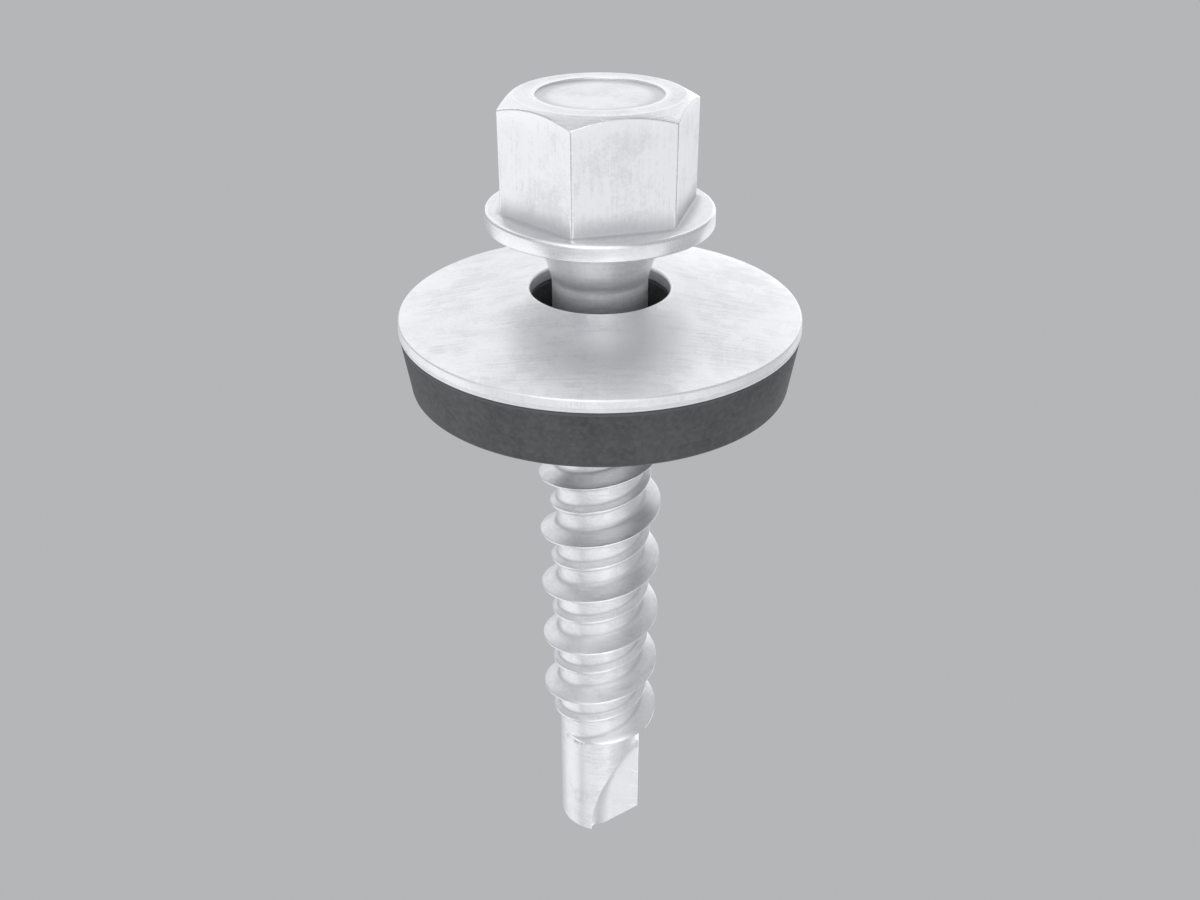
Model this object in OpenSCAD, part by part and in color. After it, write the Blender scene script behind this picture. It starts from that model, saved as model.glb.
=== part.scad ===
// Self-drilling roofing screw with a hexagon washer head, a two-height thread and a bonded sealing washer.
// The screw stands on its head: the origin is the centre of the head's top face, and +Z runs to the drill tip.

/* [Head] */
// Width of the hexagon across its flats
hex_af = 7.94; // [7:0.01:8.2]
// Height of the hexagon, from the top face to the flange
hex_h = 4.98; // [4:0.01:6]
// How much narrower than the hexagon's flats the corner chamfer leaves the top face
face_inset = 0.41; // [0.2:0.01:1]
// Slope of the corner chamfer, from the top face, in degrees
chamfer_slope = 30; // [20:1:40]
// Width of the flat ring around the shallow forging recess
ring_w = 0.945; // [0.5:0.005:1.5]
// Depth of the forging recess
recess_h = 0.12; // [0.08:0.01:0.4]
// How far the flange stands out past the hexagon's corners
flange_out = 0.636; // [0.4:0.002:1.2]
// Thickness of the flange
flange_h = 0.78; // [0.7:0.01:1.2]

/* [Shank and drill point] */
// Length from under the flange to the drill tip
screw_length = 38.06; // [34:0.01:44]
// Diameter of the plain shank and of the drill point
shank_d = 4.48; // [4.2:0.01:4.7]
// Diameter of the conical neck where it leaves the flange
neck_d = 6.1; // [5.6:0.01:6.3]
// Height of the conical neck
neck_h = 2.58; // [1.8:0.01:3]
// Angle of the drill point
point_angle = 106; // [90:1:130]
// Radius of the disc cutter that mills the two flutes
cutter_r = 8.62; // [7:0.01:10]
// Radius of the cutter's corner, which rounds the bottom of a flute
cutter_corner = 1.2; // [0.6:0.01:1.5]
// Distance from the screw's axis to the wall that the cutter's rim leaves
flute_wall = 0.49; // [0.3:0.01:0.7]
// Distance from the screw's axis to the wall that the cutter's side leaves
flute_side = 0.34; // [0.25:0.01:0.6]

/* [Thread] */
// Axial distance that one turn covers: a high and a low thread share it
lead = 3.4; // [2.8:0.01:4]
// Diameter over the high thread
high_thread_d = 6.22; // [5.9:0.01:6.3]
// Diameter over the low thread
low_thread_d = 5.18; // [5:0.01:5.5]
// Axial width of the high thread's root on each side of its crest
high_flank_w = 0.51; // [0.4:0.01:0.6]
// Axial width of the low thread's root on each side of its crest
low_flank_w = 0.28; // [0.2:0.01:0.35]
// Width of both threads' flat crests
crest_w = 0.1; // [0.06:0.01:0.16]
// Length under the flange that stays without thread
plain_l = 4.64; // [4:0.01:7]
// Distance from the end of the thread to the reach of the flutes
thread_gap = 0.3; // [0.3:0.01:3]
// Angle over which a thread rises from nothing at each end, in degrees
runout_turn = 100; // [60:5:180]
// Direction in which the high thread ends, in degrees from +X
thread_end_angle = -43; // [-180:1:180]

/* [Washer] */
// Outer diameter of the steel washer
washer_d = 18.94; // [17:0.01:20]
// Play between the high thread and the washer's hole, over both sides
washer_play = 0.32; // [0.2:0.01:0.8]
// Thickness of the washer's sheet
sheet_t = 0.65; // [0.5:0.01:0.8]
// Slope of the dished sheet, in degrees
dish_slope = 10.5; // [6:0.01:12]
// Distance from under the flange to the washer's raised hole rim, as it hangs loose
hanging_gap = 3.08; // [1:0.01:3.2]

/* [Seal] */
// Thickness of the rubber seal at its outer edge
seal_h = 2.78; // [2:0.01:3.2]
// How far the seal's top edge, where it is bonded, lies inside the washer's edge
seal_inset = 0.04; // [0.02:0.01:0.6]
// How far the seal's side leans in from its top edge to its underside
seal_lean = 0.42; // [0.1:0.01:1]
// How far the seal's hole stands back from the washer's hole
seal_setback = 0.02; // [0.01:0.01:0.4]

/* [Hidden] */
$fn = 96;

// Levels along the screw, from the head's top face
flange_bottom = hex_h + flange_h;
neck_end = flange_bottom + neck_h;
tip_z = flange_bottom + screw_length;
shank_r = shank_d / 2;
point_h = shank_r / tan(point_angle / 2);
shoulder_z = tip_z - point_h;
thread_start = flange_bottom + plain_l;
flute_reach = sqrt(pow(cutter_r, 2) - pow(cutter_r - flute_wall - shank_r, 2));
thread_end = shoulder_z - flute_reach - thread_gap;

// The hexagon stands a little into the flange, so that the two are one solid
sink = 0.2;
corner_r = hex_af / 2 / cos(30);
face_r = (hex_af - face_inset) / 2;
recess_r = face_r - ring_w;
flange_r = corner_r + flange_out;
flange_top_round = 0.18;
flange_base_round = 0.08;

// The thread's grid: columns around the screw, and four rows for each ridge that a column crosses
columns = 48;
root_step = 0.02;
root_r = shank_r - root_step;
ridge_step = lead / 2;
last_high = ceil((thread_end - thread_start) / ridge_step);
rows = 4 * (last_high + 2);
runout_h = lead * runout_turn / 360;
// Rows past the thread's ends are pressed together in a narrow plain band
press = 0.04;
thin_w = 0.012;
band_overlap = 0.22;
band_end = 0.3;

// The cutter is thicker than the drill's radius, so it clears all in front of its side face
cutter_h = 3;

// The washer's raised hole rim and its lower outer rim
washer_rim_z = flange_bottom + hanging_gap;
washer_r = washer_d / 2;
washer_hole_r = (high_thread_d + washer_play) / 2;
rim_z = washer_rim_z + (washer_r - washer_hole_r) * tan(dish_slope);
sheet_v = sheet_t / cos(dish_slope);
rim_lean = 0.03;
edge_round = 0.13;

// The seal fills the dish down to one flat underside
seal_base_z = rim_z + sheet_v + seal_h;
seal_r = washer_r - seal_inset;
seal_hole_r = washer_hole_r + seal_setback;
seal_round = 0.13;

function unit(v) = v / norm(v);

// Centre of the arc that rounds corner b of the outline a, b, c with radius r
function corner_centre(a, b, c, r) =
    let (
        back = unit(a - b),
        on = unit(c - b),
        half = acos(back * on) / 2
    )
    b + unit(back + on) * r / sin(half);

// Where that arc leaves the side from b towards p
function tangent_point(b, p, centre) = let (along = unit(p - b)) b + along * ((centre - b) * along);

// Outline with true round corners: radii[i] rounds corner i, and 0 leaves it sharp
module rounded_outline(corners, radii) {
    n = len(corners);
    centres = [for (i = [0:n - 1])
        corner_centre(corners[(i + n - 1) % n], corners[i], corners[(i + 1) % n], radii[i])];
    polygon([for (i = [0:n - 1], after = radii[i] > 0 ? [0, 1] : [0])
        radii[i] > 0
            ? tangent_point(corners[i], corners[(i + (after == 0 ? n - 1 : 1)) % n], centres[i])
            : corners[i]]);
    for (i = [0:n - 1]) if (radii[i] > 0) translate(centres[i]) circle(radii[i]);
}

// Hexagon with its corners chamfered at the top face, and the forging recess
module hex_head() {
    difference() {
        intersection() {
            rotate(45) cylinder(h = hex_h + sink, r = corner_r, $fn = 6);
            rotate_extrude() polygon([
                [0, 0],
                [face_r, 0],
                [flange_r, (flange_r - face_r) * tan(chamfer_slope)],
                [flange_r, hex_h + sink],
                [0, hex_h + sink]
            ]);
        }
        translate([0, 0, -1]) cylinder(h = 1 + recess_h, r = recess_r);
    }
}

module flange() {
    rotate_extrude() rounded_outline(
        [[0, hex_h], [flange_r, hex_h], [flange_r, flange_bottom], [0, flange_bottom]],
        [0, flange_top_round, flange_base_round, 0]
    );
}

// Conical neck and the plain shank down to the thread
module neck_and_shank() {
    rotate_extrude() polygon([
        [0, flange_bottom - sink],
        [neck_d / 2, flange_bottom - sink],
        [neck_d / 2, flange_bottom],
        [shank_r, neck_end],
        [shank_r, thread_start - band_overlap],
        [0, thread_start - band_overlap]
    ]);
}

// How much of its full height a thread has at height z
function fade(z) = max(0, min(1, (z - thread_start) / runout_h, (thread_end - z) / runout_h));

function pressed(z) =
    z < thread_start ? thread_start - (thread_start - z) * press :
    z > thread_end ? thread_end + (z - thread_end) * press : z;

// Height of ridge j at a column: high and low ridges take turns, and the highest high one ends the thread
function ridge_z(a, j) = thread_end + lead * (a / columns - 1) + (j - last_high) * ridge_step;
function is_high(j) = (last_high - j) % 2 == 0;
function crest_r(j, f) = root_r + f * ((is_high(j) ? high_thread_d : low_thread_d) / 2 - root_r);
function flank_w(j, f) = f * (is_high(j) ? high_flank_w : low_flank_w) + thin_w;
function crest_half(f) = max(f * crest_w / 2, thin_w);

// A row's radius and height: root, crest, crest, root for each ridge
function row_rz(a, m) =
    let (
        j = floor(m / 4),
        part = m % 4,
        side = part < 2 ? -1 : 1,
        z = ridge_z(a, j),
        f = fade(z),
        at_crest = part == 1 || part == 2,
        reach = crest_half(f) + (at_crest ? 0 : flank_w(j, f))
    )
    [at_crest ? crest_r(j, f) : root_r, pressed(z + side * reach)];

function column_angle(a) = thread_end_angle + 360 * a / columns;
function on_column(a, r, z) = [r * cos(column_angle(a)), r * sin(column_angle(a)), z];
function row_point(a, m) = let (rz = row_rz(a, m)) on_column(a, rz[0], rz[1]);

// The last column lies on the first, one turn (8 rows) higher; only its top 8 rows are new points
function row_id(a, m) =
    a < columns ? a * rows + m :
    m + 8 < rows ? m + 8 : columns * rows + m + 8 - rows;
low_ring = columns * rows + 8;
high_ring = low_ring + columns;
function low_id(a) = low_ring + a % columns;
function high_id(a) = high_ring + a % columns;

// Threaded length as one closed surface that follows the helix, with a flat ring at each end
module thread() {
    points = concat(
        [for (a = [0:columns - 1], m = [0:rows - 1]) row_point(a, m)],
        [for (m = [rows - 8:rows - 1]) row_point(columns, m)],
        [for (a = [0:columns - 1]) on_column(a, root_r, thread_start - band_end)],
        [for (a = [0:columns - 1]) on_column(a, root_r, thread_end + band_end)]
    );
    top = rows - 1;
    strips = [for (a = [0:columns - 1], m = [0:rows - 2], half = [0, 1])
        half == 0 ? [row_id(a, m), row_id(a, m + 1), row_id(a + 1, m + 1)]
                  : [row_id(a, m), row_id(a + 1, m + 1), row_id(a + 1, m)]];
    low_band = [for (a = [0:columns - 1], half = [0, 1])
        half == 0 ? [low_id(a), row_id(a, 0), low_id(a + 1)]
                  : [low_id(a + 1), row_id(a, 0), row_id(a + 1, 0)]];
    high_band = [for (a = [0:columns - 1], half = [0, 1])
        half == 0 ? [high_id(a), high_id(a + 1), row_id(a + 1, top)]
                  : [high_id(a), row_id(a + 1, top), row_id(a, top)]];
    // Where the last column steps past the first, the band's side follows the 8 rows between
    low_step = concat(
        [[low_id(0), row_id(columns - 1, 0), row_id(0, 0)]],
        [for (m = [0:7]) [row_id(0, m), row_id(columns - 1, 0), row_id(0, m + 1)]]
    );
    high_step = concat(
        [[high_id(0), row_id(1, top), row_id(columns, top)]],
        [for (m = [rows - 8:top - 1]) [row_id(columns, m + 1), row_id(1, top), row_id(columns, m)]],
        [[row_id(columns, rows - 8), row_id(1, top), row_id(0, top)]]
    );
    low_faces = [for (i = [0:len(low_band) - 2]) low_band[i]];
    high_faces = [for (i = [0:len(high_band) - 1]) if (i != 1) high_band[i]];
    low_cap = [[for (a = [0:columns - 1]) low_id(a)]];
    high_cap = [[for (a = [columns - 1:-1:0]) high_id(a)]];
    polyhedron(
        points,
        concat(strips, low_faces, low_step, high_faces, high_step, low_cap, high_cap),
        convexity = 10
    );
}

// Disc cutter on its side: its flat face is towards +Y and its rim towards +X
module flute_cutter() {
    translate([flute_wall - cutter_r, -flute_side, shoulder_z]) rotate([-90, 0, 0]) rotate_extrude()
        rounded_outline(
            [[0, -cutter_h], [cutter_r, -cutter_h], [cutter_r, 0], [0, 0]],
            [0, 0, cutter_corner, 0]
        );
}

// Straight drill with a conical point and two opposite milled flutes
module drill_point() {
    difference() {
        rotate_extrude() polygon([
            [0, thread_end + band_overlap],
            [shank_r, thread_end + band_overlap],
            [shank_r, shoulder_z],
            [0, tip_z]
        ]);
        for (turn = [0, 180]) rotate(turn) flute_cutter();
    }
}

module screw() {
    color("gainsboro") union() {
        hex_head();
        flange();
        neck_and_shank();
        thread();
        drill_point();
    }
}

// Dished sheet with a punched hole; its raised side is nearer the head
module steel_washer() {
    slope = tan(dish_slope);
    color("whitesmoke") rotate_extrude() rounded_outline(
        [
            [washer_hole_r, washer_rim_z],
            [washer_r - rim_lean, rim_z - rim_lean * slope],
            [washer_r, rim_z + sheet_v],
            [washer_hole_r, washer_rim_z + sheet_v]
        ],
        [edge_round, edge_round, edge_round, edge_round]
    );
}

// Rubber ring under the washer, narrower towards its flat underside
module rubber_seal() {
    slope = tan(dish_slope);
    color("dimgray") rotate_extrude() rounded_outline(
        [
            [seal_hole_r, washer_rim_z + sheet_v + seal_setback * slope],
            [seal_r, washer_rim_z + sheet_v + (seal_r - washer_hole_r) * slope],
            [seal_r - seal_lean, seal_base_z],
            [seal_hole_r, seal_base_z]
        ],
        [seal_round, seal_round, seal_round, seal_round]
    );
}

screw();
steel_washer();
rubber_seal();
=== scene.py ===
# Roofing screw with its loose sealing washer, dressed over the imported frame
import math

import bmesh
import bpy
from mathutils import Matrix, Vector


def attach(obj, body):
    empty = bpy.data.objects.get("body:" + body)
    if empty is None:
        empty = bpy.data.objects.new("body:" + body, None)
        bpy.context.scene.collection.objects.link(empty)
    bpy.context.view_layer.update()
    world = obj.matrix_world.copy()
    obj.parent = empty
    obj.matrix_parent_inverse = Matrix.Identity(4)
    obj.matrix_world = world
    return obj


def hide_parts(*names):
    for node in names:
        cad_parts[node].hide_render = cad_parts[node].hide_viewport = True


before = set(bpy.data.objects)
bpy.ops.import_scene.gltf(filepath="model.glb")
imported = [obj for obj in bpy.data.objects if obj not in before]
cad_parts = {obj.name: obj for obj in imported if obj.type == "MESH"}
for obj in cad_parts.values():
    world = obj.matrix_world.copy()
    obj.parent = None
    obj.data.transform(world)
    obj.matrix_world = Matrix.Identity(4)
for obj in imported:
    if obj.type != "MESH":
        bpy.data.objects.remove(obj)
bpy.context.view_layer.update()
mm = 0.001  # sizes are written in millimetres and become metres where a mesh is made
weldDistance = 2e-7  # metres; points of a finished mesh that are closer become one
print("frame loaded:", sorted(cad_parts))


# Small helpers for node trees
def addNode(tree, kind, links=None, **settings):
    node = tree.nodes.new(kind)
    for name, value in settings.items():
        setattr(node, name, value)
    for name, value in (links or {}).items():
        plug(tree, node.inputs[name], value)
    return node


def plug(tree, socket, value):
    if isinstance(value, bpy.types.NodeSocket):
        tree.links.new(value, socket)
    else:
        socket.default_value = value


def calc(tree, operation, *values):
    node = tree.nodes.new("ShaderNodeMath")
    node.operation = operation
    for socket, value in zip(node.inputs, values):
        plug(tree, socket, value)
    return node.outputs[0]


def weighted(tree, start, terms):
    # A start value plus each value times its weight
    total = start
    for value, weight in terms:
        total = calc(tree, "MULTIPLY_ADD", value, weight, total)
    return total


def curveNode(tree, factor, points):
    node = tree.nodes.new("ShaderNodeFloatCurve")
    plug(tree, node.inputs["Value"], factor)
    curve = node.mapping.curves[0]
    while len(curve.points) < len(points):
        curve.points.new(0.5, 0.5)
    for point, (x, y) in zip(curve.points, points):
        point.location = (x, y)
        point.handle_type = "VECTOR"
    node.mapping.update()
    return node.outputs[0]


# Small helpers for meshes
def meshObject(name, verts, faces):
    mesh = bpy.data.meshes.new(name)
    mesh.from_pydata([(x * mm, y * mm, z * mm) for x, y, z in verts], [], faces)
    piece = bpy.data.objects.new(name, mesh)
    bpy.context.scene.collection.objects.link(piece)
    return piece


def filleted(path, steps):
    # Rounds the corners of a path of (radius, height, rounding); a rounding of 0 leaves a corner sharp
    points = [Vector(entry[:2]) for entry in path]
    rounded = []
    for i, corner in enumerate(points):
        rounding = path[i][2]
        if rounding == 0:
            rounded.append(path[i][:2])
            continue
        back = (points[i - 1] - corner).normalized()
        ahead = (points[(i + 1) % len(points)] - corner).normalized()
        half = back.angle(ahead) / 2
        centre = corner + (back + ahead).normalized() * rounding / math.sin(half)
        start = corner + back * rounding / math.tan(half) - centre
        end = corner + ahead * rounding / math.tan(half) - centre
        spread = start.angle(end)
        for k in range(steps + 1):
            t = k / steps
            arm = start * math.sin((1 - t) * spread) + end * math.sin(t * spread)
            rounded.append(tuple(centre + arm / math.sin(spread)))
    return rounded


def spunRing(name, outline, columns):
    # Ring turned about the screw's axis from a closed outline of (radius, height)
    verts, faces = [], []
    count = len(outline)
    for c in range(columns):
        a = 2 * math.pi * c / columns
        verts += [(r * math.cos(a), r * math.sin(a), z) for r, z in outline]
    for c in range(columns):
        here, there = c * count, (c + 1) % columns * count
        for i in range(count):
            j = (i + 1) % count
            faces.append((here + i, there + i, there + j, here + j))
    return meshObject(name, verts, faces)


def outwardAndSmooth(piece, sharpDegrees):
    bm = bmesh.new()
    bm.from_mesh(piece.data)
    bmesh.ops.remove_doubles(bm, verts=bm.verts, dist=weldDistance)
    bmesh.ops.recalc_face_normals(bm, faces=bm.faces)
    openEdges = [e for e in bm.edges if not e.is_manifold]
    triangles = sum(len(f.verts) - 2 for f in bm.faces)
    print(piece.name, "triangles:", triangles, "open edges:", len(openEdges))
    bm.to_mesh(piece.data)
    bm.free()
    piece.data.shade_smooth()
    piece.data.set_sharp_from_angle(angle=math.radians(sharpDegrees))


def markEdges(piece, tightRadius):
    # Point attribute "edge": 0 on flats, 1 on outer edges and -1 in inner corners,
    # where these are at least as tight as the radius
    bm = bmesh.new()
    bm.from_mesh(piece.data)
    bm.normal_update()
    values = []
    shortest = 0.015 * mm  # slivers would read as edges
    for v in bm.verts:
        steps = [e.other_vert(v).co - v.co for e in v.link_edges]
        bends = [-s.dot(v.normal) / s.length_squared for s in steps if s.length > shortest]
        strongest = max(bends, key=abs, default=0)
        curvature = 2 * strongest
        values.append(max(-1, min(1, curvature * tightRadius * mm)))
    bm.free()
    layer = piece.data.attributes.new("edge", "FLOAT", "POINT")
    layer.data.foreach_set("value", values)


# The rolled thread: a high and a low ridge share one lead and fade out together
thread = {
    "lead": 3.4,
    "start": 10.4,
    "end": 35.54,
    "coreRadius": 2.24,  # of the plain shank too
    "highRadius": 3.11,
    "lowRadius": 2.59,
    "highFlank": 0.51,  # half of a ridge's width at its foot, here and in the next line
    "lowFlank": 0.28,
    "crest": 0.1,  # width of a ridge's flat top
    "runOut": 0.944,  # height over which the ridges fade at both ends
    "thinnest": 0.25,  # width of a ridge at its very end, as a share of its full width
    "endAngle": -43,  # degrees round the axis, where the high ridge reaches the end
    "columns": 144,
    "rowsPerRidge": 22,
    "spareRidges": 3,  # ridges after the last high one, which the end of the thread cuts short
    # Rows across half a ridge: 0 is the crest's middle, 1/3 its edge, 2/3 the root's edge, 1 the valley
    "rowSpacing": [0, 0.2, 0.307, 0.347, 0.393, 0.467, 0.55, 0.61, 0.657, 0.717, 0.807, 1],
    # Height of each of those rows, as a share of the ridge's
    "rowHeight": [1, 1, 0.985, 0.94, 0.82, 0.6, 0.35, 0.185, 0.08, 0.022, 0, 0],
    "weld": 3e-7,  # metres
}


def rolledThreadTree(name):
    tree = bpy.data.node_groups.new(name, "GeometryNodeTree")
    face = tree.interface
    sizes = ["Lead", "Start", "End", "Core Radius", "High Radius", "Low Radius",
             "High Flank", "Low Flank", "Crest", "Run Out", "End Angle"]
    for label in sizes:
        face.new_socket(label, in_out="INPUT", socket_type="NodeSocketFloat")
    for label in ["Columns", "Rows per Ridge", "Last High Ridge"]:
        face.new_socket(label, in_out="INPUT", socket_type="NodeSocketInt")
    face.new_socket("Material", in_out="INPUT", socket_type="NodeSocketMaterial")
    face.new_socket("Geometry", in_out="OUTPUT", socket_type="NodeSocketGeometry")
    given = tree.nodes.new("NodeGroupInput").outputs

    def m(operation, *values):
        return calc(tree, operation, *values)

    def between(value, low, high):
        return m("MINIMUM", m("MAXIMUM", value, low), high)

    # A flat grid: its columns go round the screw, and its rows climb over the ridges
    ridges = m("ADD", given["Last High Ridge"], 1 + thread["spareRidges"])
    rows = m("MULTIPLY", ridges, given["Rows per Ridge"])
    grid = addNode(tree, "GeometryNodeMeshGrid", {
        "Size X": 1, "Size Y": 1,
        "Vertices X": m("ADD", given["Columns"], 1), "Vertices Y": m("ADD", rows, 1),
    })
    place = addNode(tree, "ShaderNodeSeparateXYZ",
                    {"Vector": addNode(tree, "GeometryNodeInputPosition").outputs[0]})
    turn = m("ADD", place.outputs["X"], 0.5)
    row = m("ROUND", m("MULTIPLY", m("ADD", place.outputs["Y"], 0.5), rows))
    ridgePlace = m("DIVIDE", row, given["Rows per Ridge"])
    ridge = m("FLOOR", ridgePlace)
    across = m("SUBTRACT", m("MULTIPLY", m("SUBTRACT", ridgePlace, ridge), 2), 1)
    side = m("SIGN", across)
    isLow = m("ABSOLUTE", m("MODULO", m("SUBTRACT", given["Last High Ridge"], ridge), 2))
    step = m("DIVIDE", given["Lead"], 2)

    def lowOrHigh(low, high):
        return m("ADD", m("MULTIPLY", low, isLow), m("MULTIPLY", high, m("SUBTRACT", 1, isLow)))

    def fade(height):
        # 0 at both ends of the thread, 1 once a run-out's length inside
        inside = m("MINIMUM", m("SUBTRACT", height, given["Start"]), m("SUBTRACT", given["End"], height))
        return between(m("DIVIDE", inside, given["Run Out"]), 0, 1)

    # Height of the ridge's middle at this turn
    climb = m("MULTIPLY", given["Lead"], m("SUBTRACT", turn, 1))
    middle = m("ADD", m("ADD", given["End"], climb),
               m("MULTIPLY", m("SUBTRACT", ridge, given["Last High Ridge"]), step))
    thinnest = thread["thinnest"]
    width = m("ADD", thinnest, m("MULTIPLY", fade(middle), 1 - thinnest))
    crestHalf = m("MULTIPLY", m("DIVIDE", given["Crest"], 2), width)
    flank = m("MULTIPLY", lowOrHigh(given["Low Flank"], given["High Flank"]), width)

    # How far this row lies from the ridge's middle: across the crest, down the flank, along the valley
    last = len(thread["rowSpacing"]) - 1
    zone = curveNode(tree, m("ABSOLUTE", across),
                     [(i / last, v) for i, v in enumerate(thread["rowSpacing"])])
    zone = m("MULTIPLY", zone, 3)
    onCrest = m("MULTIPLY", crestHalf, between(zone, 0, 1))
    downFlank = between(m("SUBTRACT", zone, 1), 0, 1)
    onFlank = m("MULTIPLY", m("SUBTRACT", flank, crestHalf), downFlank)
    alongValley = between(m("SUBTRACT", zone, 2), 0, 1)
    inValley = m("MULTIPLY", m("SUBTRACT", m("DIVIDE", step, 2), flank), alongValley)
    reach = m("MULTIPLY", side, m("ADD", m("ADD", onCrest, onFlank), inValley))
    height = between(m("ADD", middle, reach), given["Start"], given["End"])

    share = curveNode(tree, m("ABSOLUTE", across),
                      [(i / last, v) for i, v in enumerate(thread["rowHeight"])])
    crestRadius = lowOrHigh(given["Low Radius"], given["High Radius"])
    rise = m("MULTIPLY", m("SUBTRACT", crestRadius, given["Core Radius"]), fade(height))
    radius = m("ADD", given["Core Radius"], m("MULTIPLY", rise, share))
    angle = m("ADD", m("RADIANS", given["End Angle"]), m("MULTIPLY", turn, 2 * math.pi))
    spot = addNode(tree, "ShaderNodeCombineXYZ", {
        "X": m("MULTIPLY", radius, m("COSINE", angle)),
        "Y": m("MULTIPLY", radius, m("SINE", angle)),
        "Z": height,
    })
    moved = addNode(tree, "GeometryNodeSetPosition",
                    {"Geometry": grid.outputs["Mesh"], "Position": spot.outputs[0]})
    welded = addNode(tree, "GeometryNodeMergeByDistance",
                     {"Geometry": moved.outputs[0], "Distance": thread["weld"]})
    real = addNode(tree, "GeometryNodeRealizeInstances", {"Geometry": welded.outputs[0]})
    painted = addNode(tree, "GeometryNodeSetMaterial",
                      {"Geometry": real.outputs[0], "Material": given["Material"]})
    out = tree.nodes.new("NodeGroupOutput")
    tree.links.new(painted.outputs[0], out.inputs["Geometry"])
    return tree


def setInputs(modifier, values):
    # A modifier's inputs are set by identifier
    for item in modifier.node_group.interface.items_tree:
        if item.item_type == "SOCKET" and item.in_out == "INPUT" and item.name in values:
            modifier[item.identifier] = values[item.name]


def threadMesh(material):
    carrier = meshObject("threadCarrier", [(0, 0, 0)], [])
    modifier = carrier.modifiers.new("rolledThread", "NODES")
    modifier.node_group = rolledThreadTree("rolledThread")
    lastHigh = math.ceil((thread["end"] - thread["start"]) / (thread["lead"] / 2))
    setInputs(modifier, {
        "Lead": thread["lead"] * mm,
        "Start": thread["start"] * mm,
        "End": thread["end"] * mm,
        "Core Radius": thread["coreRadius"] * mm,
        "High Radius": thread["highRadius"] * mm,
        "Low Radius": thread["lowRadius"] * mm,
        "High Flank": thread["highFlank"] * mm,
        "Low Flank": thread["lowFlank"] * mm,
        "Crest": thread["crest"] * mm,
        "Run Out": thread["runOut"] * mm,
        "End Angle": float(thread["endAngle"]),
        "Columns": thread["columns"],
        "Rows per Ridge": thread["rowsPerRidge"],
        "Last High Ridge": lastHigh,
        "Material": material,
    })
    graph = bpy.context.evaluated_depsgraph_get()
    mesh = bpy.data.meshes.new_from_object(carrier.evaluated_get(graph))
    bpy.data.objects.remove(carrier)
    print("thread rolled:", len(mesh.vertices), "points")
    return mesh


# The forged head with its flange, neck and plain shank
head = {
    "acrossFlats": 7.94,
    "height": 4.98,
    "cornerRound": 0.15,
    "faceRadius": 3.765,
    "faceRound": 0.15,
    "chamferSlope": 30,
    "chamferRound": 0.09,
    "recessRadius": 2.82,
    "recessDepth": 0.12,
    "recessRound": 0.045,
    "baseFillet": 0.1,
    "flangeRadius": 5.22,
    "flangeBottom": 5.76,
    "flangeTopRound": 0.18,
    "flangeBaseRound": 0.08,
    "neckRadius": 3.05,
    "neckFillet": 0.14,
    "neckEnd": 8.34,
    "neckEndRound": 1.2,
    "shankEnd": 10.0,
    "firstCorner": 45,  # degrees from +X
    # Columns on one side of a corner, in degrees; a last one stands in the middle of each flat
    "columns": [0, 0.3, 0.65, 1.05, 1.7, 3, 5.5, 9, 13, 17.5, 22, 26],
    # Rings that only keep the faces even: these are radii
    "recessRings": [1.0, 2.0],
    "faceRing": 3.3,
    "flangeRings": [4.4, 3.7],
    # And these are heights
    "flatRings": [1.4, 2.6, 3.8],
    "shankRing": 9.2,
    "filletSteps": 4,
    "sharpDegrees": 32,
}


def hexRadius(fromCorner):
    # Hexagon's radius at an angle from its nearest corner, with the corner rounded
    apothem, rounding = head["acrossFlats"] / 2, head["cornerRound"]
    halfSector = math.radians(30)
    centre = (apothem - rounding) / math.cos(halfSector)
    tangent = math.atan2(rounding * math.sin(halfSector), centre + rounding * math.cos(halfSector))
    a = math.radians(fromCorner)
    if a < tangent:
        return centre * math.cos(a) + math.sqrt(rounding ** 2 - (centre * math.sin(a)) ** 2)
    return apothem / math.cos(halfSector - a)


def headProfile(radius):
    # From the recess's floor round the outside to the plain shank, as (radius, height, rounding)
    slope = math.tan(math.radians(head["chamferSlope"]))
    recess, depth, face = head["recessRadius"], head["recessDepth"], head["faceRadius"]
    rim, top, low = head["flangeRadius"], head["height"], head["flangeBottom"]
    shank = thread["coreRadius"]
    path = [
        *[(r, depth, 0) for r in head["recessRings"]],
        (recess, depth, head["recessRound"]),
        (recess, 0, head["recessRound"]),
        (head["faceRing"], 0, 0),
        (face, 0, head["faceRound"]),
        (radius, (radius - face) * slope, head["chamferRound"]),
        *[(radius, z, 0) for z in head["flatRings"]],
        (radius, top, head["baseFillet"]),
        (rim, top, head["flangeTopRound"]),
        (rim, low, head["flangeBaseRound"]),
        *[(r, low, 0) for r in head["flangeRings"]],
        (head["neckRadius"], low, head["neckFillet"]),
        (shank, head["neckEnd"], head["neckEndRound"]),
        (shank, head["shankRing"], 0),
        (shank, head["shankEnd"], 0),
    ]
    return filleted(path, head["filletSteps"])


def headColumns():
    # Pairs of an angle and how far it is from its nearest corner, as many as the thread has columns
    angles = []
    for corner in range(6):
        start = head["firstCorner"] + 60 * corner
        angles += [(start + a, a) for a in head["columns"]]
        angles.append((start + 30, 30))
        angles += [(start + 60 - a, a) for a in reversed(head["columns"][1:])]
    return angles


def newColumn(bm, degrees, profile):
    # Points along a profile of (radius, height), at an angle round the axis
    a = math.radians(degrees)
    return [bm.verts.new((r * math.cos(a) * mm, r * math.sin(a) * mm, z * mm)) for r, z in profile]


def addHead(bm):
    columns = [newColumn(bm, angle, headProfile(hexRadius(fromCorner)))
               for angle, fromCorner in headColumns()]
    centre = bm.verts.new((0, 0, head["recessDepth"] * mm))
    for here, there in zip(columns, columns[1:] + columns[:1]):
        bm.faces.new((centre, here[0], there[0]))
        for i in range(len(here) - 1):
            bm.faces.new((here[i], here[i + 1], there[i + 1], there[i]))


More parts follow.
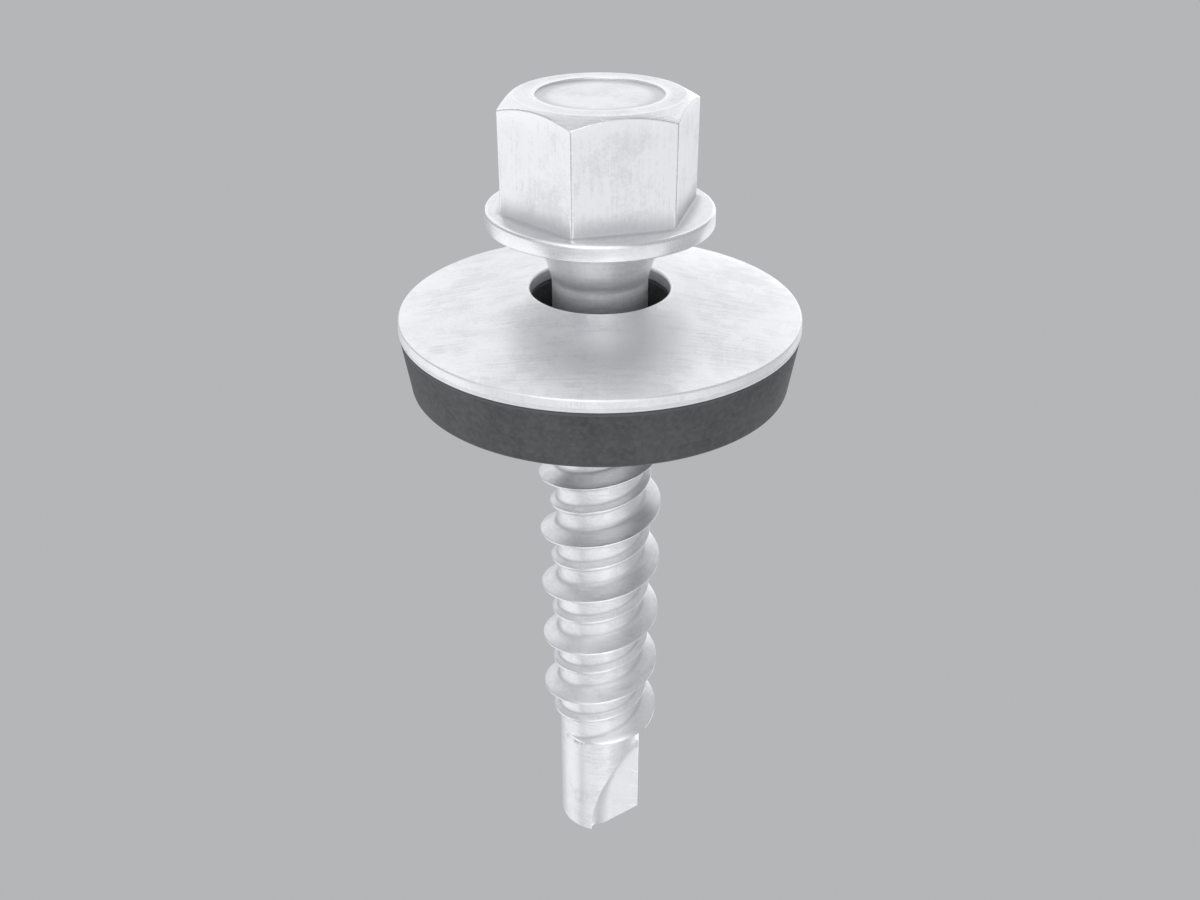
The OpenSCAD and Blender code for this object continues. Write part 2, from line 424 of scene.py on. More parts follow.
# The drill point and the two flutes that a round-cornered disc cutter mills in it
drill = {
    "start": 35.9,
    "shoulder": 42.1336,
    "tip": 43.82,
    "radius": 2.24,
    "rings": [37, 38.2, 39.4, 40.6, 41.6],  # heights that keep the faces even
    "coneRings": [0.25, 0.5, 0.75],  # the same from the shoulder to the tip, as shares
    "cutterRadius": 8.62,
    "cutterCorner": 1.2,
    "cutterCornerSteps": 12,
    "cutterWidth": 3.0,
    "cutterBore": 0.5,
    "cutterColumns": 300,
    "cutterSharpDegrees": 30,
    "fluteWall": 0.49,  # how far the cutter's rim reaches past the axis
    "fluteSide": 0.34,  # how far the cutter's flat side stays from the axis
    "tolerance": 0.02,  # how far off a flute's surface a milled face may lie
}


def addDrill(bm):
    radius, shoulder, top = drill["radius"], drill["shoulder"], drill["tip"]
    profile = [(radius, z) for z in [drill["start"], *drill["rings"], shoulder]]
    profile += [(radius * (1 - t), shoulder + (top - shoulder) * t) for t in drill["coneRings"]]
    count = thread["columns"]
    columns = [newColumn(bm, thread["endAngle"] + 360 * c / count, profile) for c in range(count)]
    tip = bm.verts.new((0, 0, top * mm))
    for here, there in zip(columns, columns[1:] + columns[:1]):
        for i in range(len(here) - 1):
            bm.faces.new((here[i], here[i + 1], there[i + 1], there[i]))
        bm.faces.new((here[-1], tip, there[-1]))


def ringEdges(bm, height):
    # Open edges at one height
    tolerance = 1e-6  # metres
    return [e for e in bm.edges if e.is_boundary
            and all(abs(v.co.z - height * mm) < tolerance for v in e.verts)]


def cutter(turnDegrees):
    # Disc with one round corner, laid on its side against the drill point
    radius, corner, steps = drill["cutterRadius"], drill["cutterCorner"], drill["cutterCornerSteps"]
    bore, width = drill["cutterBore"], drill["cutterWidth"]
    outline = [(bore, -width), (radius, -width), (radius, -corner)]
    for i in range(1, steps):
        a = math.radians(90 * i / steps)
        outline.append((radius - corner + corner * math.cos(a), -corner + corner * math.sin(a)))
    outline += [(radius - corner, 0), (bore, 0)]
    disc = spunRing("flute%d" % turnDegrees, outline, drill["cutterColumns"])
    lay = Matrix.Rotation(math.radians(-90), 4, "X")
    place = Vector((drill["fluteWall"] - radius, -drill["fluteSide"], drill["shoulder"])) * mm
    turn = Matrix.Rotation(math.radians(turnDegrees), 4, "Z")
    disc.data.transform(turn @ Matrix.Translation(place) @ lay)
    outwardAndSmooth(disc, drill["cutterSharpDegrees"])
    return disc


def fluteAt(point):
    # 1 in the first flute, -1 in the second, 0 outside both
    for turn in (1, -1):
        fromCutter = point.x * turn - drill["fluteWall"] + drill["cutterRadius"]
        reach = math.hypot(fromCutter, point.z - drill["shoulder"])
        depth = -drill["fluteSide"] - point.y * turn
        inDisc = reach < drill["cutterRadius"] + drill["tolerance"] and depth > -drill["tolerance"]
        if inDisc and point.z > drill["start"]:
            return turn
    return 0


def markMilled(piece):
    # Face attribute "milled", which says in which flute a face lies
    values = [fluteAt(face.center / mm) for face in piece.data.polygons]
    layer = piece.data.attributes.new("milled", "FLOAT", "FACE")
    layer.data.foreach_set("value", values)


def makeScrew(material):
    bm = bmesh.new()
    bm.from_mesh(threadMesh(material))
    bmesh.ops.remove_doubles(bm, verts=bm.verts, dist=thread["weld"])
    addHead(bm)
    addDrill(bm)
    for low, high in ((head["shankEnd"], thread["start"]), (thread["end"], drill["start"])):
        bmesh.ops.bridge_loops(bm, edges=ringEdges(bm, low) + ringEdges(bm, high))
    bmesh.ops.recalc_face_normals(bm, faces=bm.faces)
    piece = meshObject("screwBody", [], [])
    bm.to_mesh(piece.data)
    openEdges = [e for e in bm.edges if not e.is_manifold]
    print("blank joined:", len(bm.faces), "faces,", len(openEdges), "open edges")
    bm.free()
    tools = [cutter(0), cutter(180)]
    for tool in tools:
        milled = piece.modifiers.new("flute", "BOOLEAN")
        milled.operation = "DIFFERENCE"
        milled.solver = "MANIFOLD"
        milled.object = tool
    graph = bpy.context.evaluated_depsgraph_get()
    mesh = bpy.data.meshes.new_from_object(piece.evaluated_get(graph))
    piece.modifiers.clear()
    piece.data = mesh
    for tool in tools:
        bpy.data.objects.remove(tool)
    piece.data.materials.clear()
    piece.data.materials.append(material)
    outwardAndSmooth(piece, head["sharpDegrees"])
    markEdges(piece, head["cornerRound"])
    markMilled(piece)
    return piece


def makeRing(name, path, settings, material):
    piece = spunRing(name, filleted(path, settings["filletSteps"]), settings["columns"])
    piece.data.materials.append(material)
    outwardAndSmooth(piece, settings["sharpDegrees"])
    markEdges(piece, settings["edgeRound"])
    return piece


# The dished steel washer
washer = {
    "holeRadius": 3.27,
    "outerRadius": 9.465,
    "holeRimHeight": 8.84,
    "sheet": 0.65,
    "slope": 10.5,
    "rimLean": 0.03,
    "edgeRound": 0.13,
    "filletSteps": 5,
    "columns": 300,
    "sharpDegrees": 40,
}


def sheetHeight(radius):
    # Height of the sheet's raised side at a radius
    slope = math.tan(math.radians(washer["slope"]))
    return washer["holeRimHeight"] + (radius - washer["holeRadius"]) * slope


def sheetThickness():
    return washer["sheet"] / math.cos(math.radians(washer["slope"]))


def makeWasher(material):
    hole, outer, rounding = washer["holeRadius"], washer["outerRadius"], washer["edgeRound"]
    middle, upperOuter = (hole + outer) / 2, outer - washer["rimLean"]
    path = [
        (hole, sheetHeight(hole), rounding),
        (middle, sheetHeight(middle), 0),
        (upperOuter, sheetHeight(upperOuter), rounding),
        (outer, sheetHeight(outer) + sheetThickness(), rounding),
        (middle, sheetHeight(middle) + sheetThickness(), 0),
        (hole, sheetHeight(hole) + sheetThickness(), rounding),
    ]
    return makeRing("sealingWasher", path, washer, material)


# The rubber ring bonded under the washer
seal = {
    "holeRadius": 3.29,
    "outerRadius": 9.43,
    "lean": 0.42,
    "height": 2.78,
    "edgeRound": 0.13,
    "filletSteps": 5,
    "columns": 300,
    "sharpDegrees": 40,
}


def makeSeal(material):
    hole, outer, rounding = seal["holeRadius"], seal["outerRadius"], seal["edgeRound"]
    base = sheetHeight(washer["outerRadius"]) + sheetThickness() + seal["height"]
    path = [
        (hole, sheetHeight(hole) + sheetThickness(), rounding),
        (outer, sheetHeight(outer) + sheetThickness(), rounding),
        (outer - seal["lean"], base, rounding),
        (hole, base, rounding),
    ]
    return makeRing("rubberSeal", path, seal, material)


# Shader groups that the finishes share
patterns = {
    "mostNoise": (0.3, 0.7),  # most of a noise texture's values lie between these
    # Detail and roughness of the noise in each pattern
    "cloudDetail": (3.0, 0.55),
    "speckleDetail": (2.0, 0.6),
    "lineDetail": (4.0, 0.65),
    "patchDetail": (1.0, 0.5),
    "wearDetail": (3.0, 0.6),
    "scuffDetail": (1.0, 0.5),
    # What a coat's tone is made of, and what the crystals add to its height
    "cloudShare": 0.5,
    "crystalShare": 0.25,
    "speckleShare": 0.25,
    "crystalHeight": 0.2,
    # Tool lines: the range of noise that they cover, and how strong the faintest patch is
    "lineRange": (0.25, 0.75),
    "faintestPatch": 0.35,
    # Wear and painted shade: how much noise breaks an edge up, and where rubbed edges and the duller
    # inner corners with painted shade begin and are whole
    "breakUp": 0.8,
    "rubbedRange": (0.2, 0.9),
    "dullAndShadeRange": (0.05, 0.7),
    # Scuffs: how each direction is turned, the stretch along it and where a scratch begins and is whole
    "scuffTurns": [(0.5, 0.3, 0.4), (1.3, 0.9, 2.1), (2.2, 0.2, 1.2)],
    "scuffStretch": (0.7, 16.0, 16.0),
    "scuffRange": (0.69, 0.76),
}


def newGroup(name, inputs, outputs):
    tree = bpy.data.node_groups.new(name, "ShaderNodeTree")
    for label, kind in inputs.items():
        tree.interface.new_socket(label, in_out="INPUT", socket_type="NodeSocket" + kind)
    for label, kind in outputs.items():
        tree.interface.new_socket(label, in_out="OUTPUT", socket_type="NodeSocket" + kind)
    return tree, tree.nodes.new("NodeGroupInput").outputs, tree.nodes.new("NodeGroupOutput").inputs


def useGroup(tree, group, values):
    node = tree.nodes.new("ShaderNodeGroup")
    node.node_tree = group
    for name, value in values.items():
        plug(tree, node.inputs[name], value)
    return node.outputs


def noise(tree, place, scale, detail, roughness):
    return addNode(tree, "ShaderNodeTexNoise", {
        "Vector": place, "Scale": scale, "Detail": detail, "Roughness": roughness,
    }).outputs[0]


def cells(tree, place, scale):
    return addNode(tree, "ShaderNodeTexVoronoi", {"Vector": place, "Scale": scale}, feature="F1").outputs


def remap(tree, value, low, high, toLow=0.0, toHigh=1.0):
    return addNode(tree, "ShaderNodeMapRange", {
        "Value": value, "From Min": low, "From Max": high, "To Min": toLow, "To Max": toHigh,
    }, interpolation_type="SMOOTHSTEP").outputs[0]


def blend(tree, share, first, second):
    mix = addNode(tree, "ShaderNodeMix", data_type="RGBA", clamp_factor=True)
    for index, value in ((0, share), (6, first), (7, second)):
        plug(tree, mix.inputs[index], value)
    return mix.outputs[2]


def aboutMiddle(tree, value):
    # From a value between 0 and 1 to one between -0.5 and 0.5
    return calc(tree, "SUBTRACT", value, 0.5)


def combine(tree, x, y, z):
    return addNode(tree, "ShaderNodeCombineXYZ", {0: x, 1: y, 2: z}).outputs[0]


def stretched(tree, place, factors):
    return addNode(tree, "ShaderNodeVectorMath", {0: place, 1: factors}, operation="MULTIPLY").outputs[0]


def partsOf(tree, place):
    return addNode(tree, "ShaderNodeSeparateXYZ", {0: place}).outputs


def lengthOf(tree, x, y):
    squares = calc(tree, "ADD", calc(tree, "MULTIPLY", x, x), calc(tree, "MULTIPLY", y, y))
    return calc(tree, "SQRT", squares)


def coatingGroup():
    # Thin plated coat: soft clouds, fine speckle and small crystals
    tree, given, out = newGroup("platedCoat", {
        "Place": "Vector", "Cloud Scale": "Float", "Speckle Scale": "Float", "Crystal Scale": "Float",
    }, {"Tone": "Float", "Height": "Float"})
    clouds = noise(tree, given["Place"], given["Cloud Scale"], *patterns["cloudDetail"])
    speckle = noise(tree, given["Place"], given["Speckle Scale"], *patterns["speckleDetail"])
    crystal = cells(tree, given["Place"], given["Crystal Scale"])["Color"]
    shade = addNode(tree, "ShaderNodeSeparateColor", {0: crystal}).outputs[0]
    tone = weighted(tree, 0.0, [
        (remap(tree, clouds, *patterns["mostNoise"]), patterns["cloudShare"]),
        (shade, patterns["crystalShare"]),
        (remap(tree, speckle, *patterns["mostNoise"]), patterns["speckleShare"]),
    ])
    tree.links.new(tone, out["Tone"])
    tree.links.new(weighted(tree, speckle, [(shade, patterns["crystalHeight"])]), out["Height"])
    return tree


def linesGroup():
    # Fine parallel lines left by a tool, strong in some places and faint in others
    tree, given, out = newGroup("toolLines", {
        "Place": "Vector", "Line Place": "Vector", "Patch Scale": "Float",
    }, {"Lines": "Float"})
    fine = noise(tree, given["Line Place"], 1.0, *patterns["lineDetail"])
    patchy = noise(tree, given["Place"], given["Patch Scale"], *patterns["patchDetail"])
    strength = remap(tree, patchy, *patterns["mostNoise"], patterns["faintestPatch"])
    centred = aboutMiddle(tree, remap(tree, fine, *patterns["lineRange"]))
    tree.links.new(calc(tree, "MULTIPLY_ADD", centred, strength, 0.5), out["Lines"])
    return tree


def edgesGroup():
    # Rubbed outer edges, and inner corners that are duller and carry painted shade, from a piece's own
    # edge attribute
    tree, given, out = newGroup("edgeRubAndShade", {
        "Place": "Vector", "Edge": "Float", "Break Up Scale": "Float",
    }, {"Rubbed": "Float", "Dull And Shade": "Float"})
    broken = noise(tree, given["Place"], given["Break Up Scale"], *patterns["wearDetail"])
    raised = weighted(tree, given["Edge"], [(aboutMiddle(tree, broken), patterns["breakUp"])])
    tree.links.new(remap(tree, raised, *patterns["rubbedRange"]), out["Rubbed"])
    # Inner corners get a duller finish and painted shade
    sunk = calc(tree, "MULTIPLY", given["Edge"], -1)
    tree.links.new(remap(tree, sunk, *patterns["dullAndShadeRange"]), out["Dull And Shade"])
    return tree


def scuffsGroup():
    # Short hairline scratches in three directions, from lying loose in a box
    tree, given, out = newGroup("boxScuffs", {
        "Place": "Vector", "Length Scale": "Float",
    }, {"Scuffs": "Float"})
    scuffs = 0.0
    for turn in patterns["scuffTurns"]:
        turned = addNode(tree, "ShaderNodeMapping", {
            "Vector": given["Place"], "Rotation": turn, "Scale": patterns["scuffStretch"],
        }).outputs[0]
        hair = noise(tree, turned, given["Length Scale"], *patterns["scuffDetail"])
        scuffs = calc(tree, "MAXIMUM", scuffs, remap(tree, hair, *patterns["scuffRange"]))
    tree.links.new(scuffs, out["Scuffs"])
    return tree


platedCoat = coatingGroup()
toolLines = linesGroup()
edgeRubAndShade = edgesGroup()
boxScuffs = scuffsGroup()
print("shader groups built")


def startMaterial(name):
    # New material with its node tree, its shader and the place in millimetres
    material = bpy.data.materials.new(name)
    material.use_nodes = True
    tree = material.node_tree
    shader = tree.nodes["Principled BSDF"]
    local = addNode(tree, "ShaderNodeTexCoord")
    place = addNode(tree, "ShaderNodeMapping", {
        "Vector": local.outputs["Object"], "Scale": (1 / mm, 1 / mm, 1 / mm),
    }).outputs[0]
    return material, tree, shader, place


def attribute(tree, name):
    return addNode(tree, "ShaderNodeAttribute", attribute_name=name).outputs["Fac"]


def edgeMasks(tree, place, look):
    return useGroup(tree, edgeRubAndShade, {
        "Place": place, "Edge": attribute(tree, "edge"), "Break Up Scale": look["breakUpScale"],
    })


def lineMask(tree, place, linePlace, look):
    return useGroup(tree, toolLines, {
        "Place": place, "Line Place": linePlace, "Patch Scale": look["patchScale"],
    })["Lines"]


def steelMasks(tree, place, linePlace, look):
    # Coat, lines, edges and scuffs that both steels carry
    coat = useGroup(tree, platedCoat, {
        "Place": place, "Cloud Scale": look["cloudScale"],
        "Speckle Scale": look["speckleScale"], "Crystal Scale": look["crystalScale"],
    })
    edges = edgeMasks(tree, place, look)
    scuffs = useGroup(tree, boxScuffs, {"Place": place, "Length Scale": look["scuffScale"]})
    return {
        "tone": coat["Tone"], "grain": coat["Height"],
        "lines": lineMask(tree, place, linePlace, look),
        "rubbed": edges["Rubbed"], "dullAndShade": edges["Dull And Shade"], "scuffs": scuffs["Scuffs"],
    }


def coatColour(tree, masks, look):
    # Between the deep and the plain colour, by the coat's tone and the lines
    tone = weighted(tree, masks["tone"], [(aboutMiddle(tree, masks["lines"]), look["lineContrast"])])
    share = remap(tree, tone, *look["toneRange"], look["leastPlain"])
    return blend(tree, share, look["deep"], look["plain"])


def maskSum(tree, start, masks, weights):
    # A start value plus each named mask times its weight
    return weighted(tree, start, [(masks[name], weight) for name, weight in weights.items()])


def dress(tree, shader, colour, masks, look):
    # Lays the look's layers over the colour and adds up its roughness, metallic value and relief
    for name, strength in look["layers"].items():
        colour = blend(tree, calc(tree, "MULTIPLY", masks[name], strength), colour, look[name])
    plug(tree, shader.inputs["Base Color"], colour)
    plug(tree, shader.inputs["Roughness"], maskSum(tree, look["roughness"], masks, look["roughnessBy"]))
    plug(tree, shader.inputs["Metallic"], maskSum(tree, look["metallic"], masks, look["metallicBy"]))
    height = maskSum(tree, 0.0, masks, look["reliefBy"])
    bump = addNode(tree, "ShaderNodeBump",
                   {"Height": height, "Distance": look["relief"] * mm, "Strength": 1.0})
    plug(tree, shader.inputs["Normal"], bump.outputs[0])


# Zinc-plated screw: streaked hexagon, turned lines round the rest, milled arcs in the flutes
screwLook = {
    "deep": (0.69, 0.70, 0.722, 1),
    "plain": (0.87, 0.878, 0.893, 1),
    "toneRange": (0.0, 0.75),  # the coat is deepest and plainest at these tones
    "leastPlain": 0.25,
    "lineContrast": 0.6,
    # Layers over the coat in this order, with their strengths; their colours follow
    "layers": {"milled": 0.6, "dullAndShade": 0.7, "rubbed": 0.8},
    "milled": (0.84, 0.845, 0.86, 1),
    # The colour for inner corners is painted shade: it darkens the creases and the thread's roots
    "dullAndShade": (0.60, 0.61, 0.63, 1),
    "rubbed": (0.93, 0.935, 0.945, 1),
    # Values of the plain coat, and what each mask adds to them
    "roughness": 0.37,
    "roughnessBy": {"tone": -0.10, "lines": 0.08, "rubbed": -0.09, "dullAndShade": 0.12, "scuffs": 0.12},
    "metallic": 0.78,
    "metallicBy": {"rubbed": 0.2},
    "relief": 0.0035,
    "reliefBy": {"grain": 0.35, "lines": 0.8, "milledLines": 0.9, "scuffs": -0.7},
    "cloudScale": 0.45,
    "speckleScale": 9.0,
    "crystalScale": 5.5,
    "patchScale": 0.5,
    "breakUpScale": 1.5,
    "scuffScale": 1.0,
    # How the line texture is stretched; small numbers run along the lines
    "streaks": (9, 9, 0.5),
    "hoops": (0.6, 0.6, 9),
    "arcs": (11, 11, 11),
    # Where the streaks begin below the chamfer and end above the flange
    "chamferFade": (0.02, 0.05),
    "flangeFade": (4.91, 4.88),
}


def screwMaterial():
    look = screwLook
    material, tree, shader, place = startMaterial("screwSteel")
    x, y, z = partsOf(tree, place)
    radius = lengthOf(tree, x, y)
    # Streaks run up the hexagon's sides; everywhere else the lines go round the axis
    chamfer = math.tan(math.radians(head["chamferSlope"]))
    aboveFace = calc(tree, "ADD", z, head["faceRadius"] * chamfer)
    belowChamfer = calc(tree, "MULTIPLY_ADD", radius, -chamfer, aboveFace)
    onHexagon = calc(tree, "MULTIPLY", remap(tree, belowChamfer, *look["chamferFade"]),
                     remap(tree, z, *look["flangeFade"]))
    streakPlace = stretched(tree, place, look["streaks"])
    hoopPlace = stretched(tree, combine(tree, x, y, calc(tree, "ADD", z, radius)), look["hoops"])
    # Milled arcs: circles about the cutter's axis, mirrored for the second flute by the face attribute
    side = attribute(tree, "milled")
    isMilled = calc(tree, "ABSOLUTE", side)
    cutterAxis = drill["fluteWall"] - drill["cutterRadius"]
    fromCutter = calc(tree, "SUBTRACT", calc(tree, "MULTIPLY", x, side), cutterAxis)
    reach = lengthOf(tree, fromCutter, calc(tree, "SUBTRACT", z, drill["shoulder"]))
    depth = calc(tree, "MULTIPLY", y, side)
    arcPlace = stretched(tree, combine(tree, reach, depth, 0.0), look["arcs"])
    linePlace = blend(tree, onHexagon, hoopPlace, streakPlace)
    linePlace = blend(tree, isMilled, linePlace, arcPlace)

    masks = steelMasks(tree, place, linePlace, look)
    masks["milled"] = isMilled
    masks["milledLines"] = calc(tree, "MULTIPLY", masks["lines"], isMilled)
    dress(tree, shader, coatColour(tree, masks, look), masks, look)
    return material


# Galvanised washer: small spangle, rolling lines along the sheet, punched edges outside and in the hole
washerLook = {
    "deep": (0.70, 0.709, 0.729, 1),
    "plain": (0.885, 0.892, 0.905, 1),
    "toneRange": (0.0, 0.75),
    "leastPlain": 0.2,
    "lineContrast": 0.7,
    "layers": {"torn": 0.6, "rubbed": 0.7},
    "torn": (0.62, 0.63, 0.65, 1),
    "rubbed": (0.935, 0.94, 0.95, 1),
    "roughness": 0.39,
    "roughnessBy": {
        "tone": -0.12, "lines": 0.06, "rubbed": -0.08, "punched": 0.12, "torn": 0.12, "scuffs": 0.12,
    },
    "metallic": 0.78,
    "metallicBy": {"rubbed": 0.2, "punched": -0.3},
    "relief": 0.003,
    "reliefBy": {"grain": 0.5, "lines": 0.6, "tornGrain": 1.2, "scuffs": -0.8},
    "cloudScale": 0.22,
    "speckleScale": 8.0,
    "crystalScale": 1.7,
    "patchScale": 0.3,
    "breakUpScale": 1.3,
    "scuffScale": 0.8,
    # How the line texture is stretched; small numbers run along the lines
    "rolling": (0.4, 8.5, 0.4),
    "punching": (8, 8, 0.8),
    "rimDepth": (0.1, 0.03),  # the punched edges begin and are whole this far from the rims
    "tearDepth": (0.42, 0.5),  # the tear begins and is whole this deep in the sheet
    "tearWander": 0.16,
    "tearScale": 0.35,
    "tearDetail": (2.0, 0.5),
}


def washerMaterial():
    look = washerLook
    material, tree, shader, place = startMaterial("washerSteel")
    x, y, z = partsOf(tree, place)
    radius = lengthOf(tree, x, y)
    onRim = remap(tree, radius, *(washer["outerRadius"] - depth for depth in look["rimDepth"]))
    onHole = remap(tree, radius, *(washer["holeRadius"] + depth for depth in look["rimDepth"]))
    punched = calc(tree, "MAXIMUM", onRim, onHole)
    # On the punched edges the lines run through the sheet's thickness
    punchPlace = stretched(tree, place, look["punching"])
    linePlace = blend(tree, punched, stretched(tree, place, look["rolling"]), punchPlace)
    # The punch shears the first part of the thickness bright and tears the rest dull
    slope = math.tan(math.radians(washer["slope"]))
    depth = calc(tree, "SUBTRACT", z, weighted(tree, sheetHeight(0), [(radius, slope)]))
    wander = noise(tree, punchPlace, look["tearScale"], *look["tearDetail"])
    ragged = weighted(tree, depth, [(wander, look["tearWander"])])
    torn = calc(tree, "MULTIPLY", remap(tree, ragged, *look["tearDepth"]), punched)

    masks = steelMasks(tree, place, linePlace, look)
    masks["punched"] = punched
    masks["torn"] = torn
    masks["tornGrain"] = calc(tree, "MULTIPLY", masks["grain"], torn)
    dress(tree, shader, coatColour(tree, masks, look), masks, look)
    return material


# Moulded rubber: dark grey, matt, with a fine grain and a faint bloom
rubberLook = {
    "dark": (0.029, 0.0298, 0.032, 1),
    "bloom": (0.073, 0.074, 0.077, 1),
    "bloomBy": {"clouds": 0.55, "centredFlow": 0.35, "grain": 0.35},
    "layers": {"rubbed": 0.5},
    "rubbed": (0.13, 0.131, 0.134, 1),
    "roughness": 0.62,
    "roughnessBy": {"clouds": 0.08, "rubbed": -0.08},
    "metallic": 0.0,
    "metallicBy": {},
    "specular": 0.42,
    "relief": 0.012,
    "reliefBy": {"pits": 0.45, "grain": 0.55, "flow": 0.15},
    "cloudScale": 0.4,
    "cloudDetail": (4.0, 0.6),
    "grainScale": 9.0,
    "grainDetail": (3.0, 0.6),
    "pitScale": 5.0,
    "pitSize": 0.22,
    "breakUpScale": 4.0,
    "flow": (0.25, 0.25, 5),  # how the flow lines are stretched round the moulded side
    "patchScale": 0.3,
}


def rubberMaterial():
    look = rubberLook
    material, tree, shader, place = startMaterial("sealRubber")
    clouds = noise(tree, place, look["cloudScale"], *look["cloudDetail"])
    pits = cells(tree, place, look["pitScale"])["Distance"]
    flow = lineMask(tree, place, stretched(tree, place, look["flow"]), look)
    masks = {
        "clouds": remap(tree, clouds, *patterns["mostNoise"]),
        "grain": noise(tree, place, look["grainScale"], *look["grainDetail"]),
        "pits": remap(tree, pits, 0.0, look["pitSize"]),
        "flow": flow,
        "centredFlow": aboutMiddle(tree, flow),
        "rubbed": edgeMasks(tree, place, look)["Rubbed"],
    }
    colour = blend(tree, maskSum(tree, 0.0, masks, look["bloomBy"]), look["dark"], look["bloom"])
    dress(tree, shader, colour, masks, look)
    shader.inputs["Specular IOR Level"].default_value = look["specular"]
    return material


screwSteel = screwMaterial()
washerSteel = washerMaterial()
sealRubber = rubberMaterial()
print("finishes mixed")

screwPiece = makeScrew(screwSteel)
washerPiece = makeWasher(washerSteel)
sealPiece = makeSeal(sealRubber)

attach(screwPiece, "screw")
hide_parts("screw")
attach(washerPiece, "washer")
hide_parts("steel_washer")
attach(sealPiece, "washer")
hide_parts("rubber_seal")
print("pieces dressed")

# Studio: a pale floor that is seen from above only, a pale surround and soft lamps
studio = {
    "surround": (0.46, 0.467, 0.478, 1),
    "fill": (0.56, 0.565, 0.575, 1),
    "floorColour": (0.55, 0.558, 0.571, 1),
    "floorRoughness": 0.6,
    "floorSize": 1200.0,
    "floorDrop": 0.02,
    "floorFade": (40, 200),  # the floor turns into the surround between these distances
    "cameraPlace": (0, -53.26, -13.01),
    "cameraAim": (0, 0, 17.74),
    "lens": 36.73,
    "sensor": 36,
    "clip": (0.001, 10),  # metres
    "lampAimHeight": 18,
    "lampDistance": 450,
}


def studioFloor():
    half, z = studio["floorSize"] / 2, -studio["floorDrop"]
    corners = [(-half, -half, z), (half, -half, z), (half, half, z), (-half, half, z)]
    floor = meshObject("studioFloor", corners, [(0, 1, 2, 3)])
    material = bpy.data.materials.new("paleFloor")
    material.use_nodes = True
    tree = material.node_tree
    tree.nodes.clear()
    path = addNode(tree, "ShaderNodeLightPath")
    geometry = addNode(tree, "ShaderNodeNewGeometry")
    fromAbove = calc(tree, "SUBTRACT", 1, geometry.outputs["Backfacing"])
    shown = calc(tree, "MULTIPLY", path.outputs["Is Camera Ray"], fromAbove)
    near = addNode(tree, "ShaderNodeBsdfDiffuse",
                   {"Color": studio["floorColour"], "Roughness": studio["floorRoughness"]})
    far = addNode(tree, "ShaderNodeEmission", {"Color": studio["surround"], "Strength": 1})
    place = addNode(tree, "ShaderNodeTexCoord")
    away = addNode(tree, "ShaderNodeVectorMath", {0: place.outputs["Object"]}, operation="LENGTH")
    fadeStart, fadeEnd = (distance * mm for distance in studio["floorFade"])
    farShare = addNode(tree, "ShaderNodeMapRange", {
        "Value": away.outputs["Value"], "From Min": fadeStart, "From Max": fadeEnd,
    }, interpolation_type="SMOOTHERSTEP")
    surface = addNode(tree, "ShaderNodeMixShader",
                      {0: farShare.outputs["Result"], 1: near.outputs[0], 2: far.outputs[0]})
    clear = addNode(tree, "ShaderNodeBsdfTransparent")
    mixed = addNode(tree, "ShaderNodeMixShader", {0: shown, 1: clear.outputs[0], 2: surface.outputs[0]})
    addNode(tree, "ShaderNodeOutputMaterial", {"Surface": mixed.outputs[0]})
    floor.data.materials.append(material)


def studioWorld():
    # The camera and reflections see the surround; the fill lights what is matt
    world = bpy.data.worlds.new("paleSurround")
    bpy.context.scene.world = world
    world.use_nodes = True
    tree = world.node_tree
    tree.nodes.clear()
    path = addNode(tree, "ShaderNodeLightPath")
    seen = calc(tree, "MAXIMUM", path.outputs["Is Camera Ray"], path.outputs["Is Glossy Ray"])
    seen = calc(tree, "MAXIMUM", seen, path.outputs["Is Transmission Ray"])
    fill = addNode(tree, "ShaderNodeBackground", {"Color": studio["fill"], "Strength": 1})
    shown = addNode(tree, "ShaderNodeBackground", {"Color": studio["surround"], "Strength": 1})
    mixed = addNode(tree, "ShaderNodeMixShader", {0: seen, 1: fill.outputs[0], 2: shown.outputs[0]})
    addNode(tree, "ShaderNodeOutputWorld", {"Surface": mixed.outputs[0]})


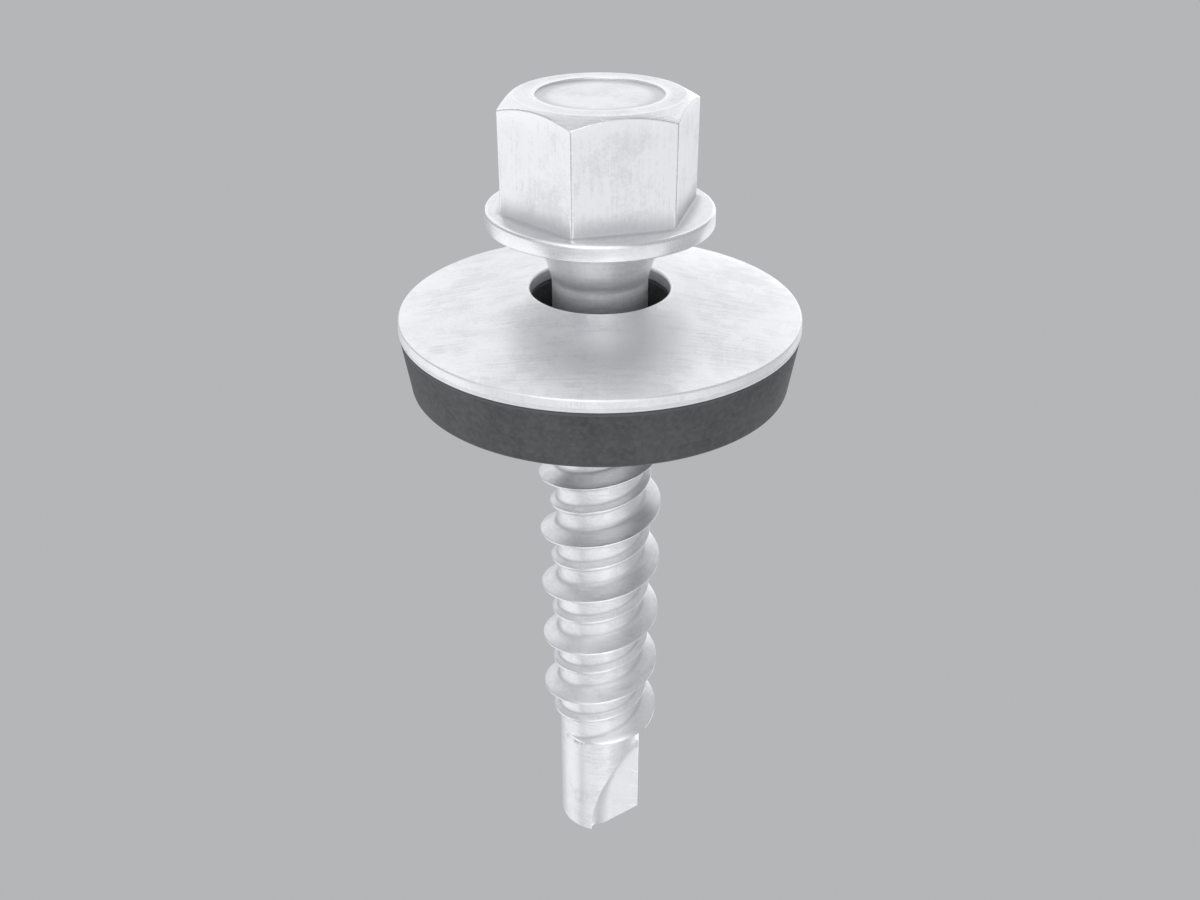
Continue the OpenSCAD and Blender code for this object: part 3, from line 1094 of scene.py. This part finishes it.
def softLamp(name, direction, size, brightness):
    # Round soft box that faces the screw; brightness is how bright its face looks
    lamp = bpy.data.lights.new(name, "AREA")
    lamp.shape = "DISK"
    lamp.size = size * mm
    lamp.energy = brightness * math.pi ** 2 * (lamp.size / 2) ** 2
    holder = bpy.data.objects.new(name, lamp)
    bpy.context.scene.collection.objects.link(holder)
    target = Vector((0, 0, studio["lampAimHeight"])) * mm
    holder.location = target + Vector(direction).normalized() * studio["lampDistance"] * mm
    holder.rotation_mode = "QUATERNION"
    holder.rotation_quaternion = (target - holder.location).to_track_quat("-Z", "Y")
    holder.visible_camera = False


def studioCamera():
    # The photograph looks down on the head, so the camera is below it here and the picture is turned over
    data = bpy.data.cameras.new("photoView")
    data.lens = studio["lens"]
    data.sensor_width = studio["sensor"]
    data.clip_start, data.clip_end = studio["clip"]
    camera = bpy.data.objects.new("photoView", data)
    bpy.context.scene.collection.objects.link(camera)
    place, aim = Vector(studio["cameraPlace"]) * mm, Vector(studio["cameraAim"]) * mm
    forward = (aim - place).normalized()
    right = forward.cross(Vector((0, 0, -1))).normalized()
    up = right.cross(forward)
    turn = Matrix((right, up, -forward)).transposed()
    camera.matrix_world = Matrix.Translation(place) @ turn.to_4x4()
    bpy.context.scene.camera = camera


lamps = {
    # The photograph's light: over the head, which is below the floor here
    "overHeadBack": {"direction": (0.0, 0.85, -0.52), "size": 790, "brightness": 0.56},
    "overHeadKey": {"direction": (0.3, -0.45, -0.84), "size": 560, "brightness": 0.48},
    "frontFill": {"direction": (0.1, -0.9, -0.42), "size": 560, "brightness": 0.7},
    # Tall sides, which the hexagon's faces, the shank and the thread mirror
    "leftSide": {"direction": (0.93, 0.05, 0.36), "size": 630, "brightness": 0.57},
    "rightFront": {"direction": (-0.55, -0.76, 0.34), "size": 530, "brightness": 0.42},
    "backHigh": {"direction": (-0.45, 0.83, 0.32), "size": 530, "brightness": 0.5},
    "frontHigh": {"direction": (0.12, -0.7, 0.7), "size": 480, "brightness": 0.45},
    # Light for the views from above the floor
    "skyKey": {"direction": (-0.3, 0.35, 0.88), "size": 380, "brightness": 0.85},
}

studioFloor()
studioWorld()
for lampName, lampSet in lamps.items():
    softLamp(lampName, **lampSet)
studioCamera()
bpy.context.scene.view_settings.view_transform = "Standard"
print("studio lit")
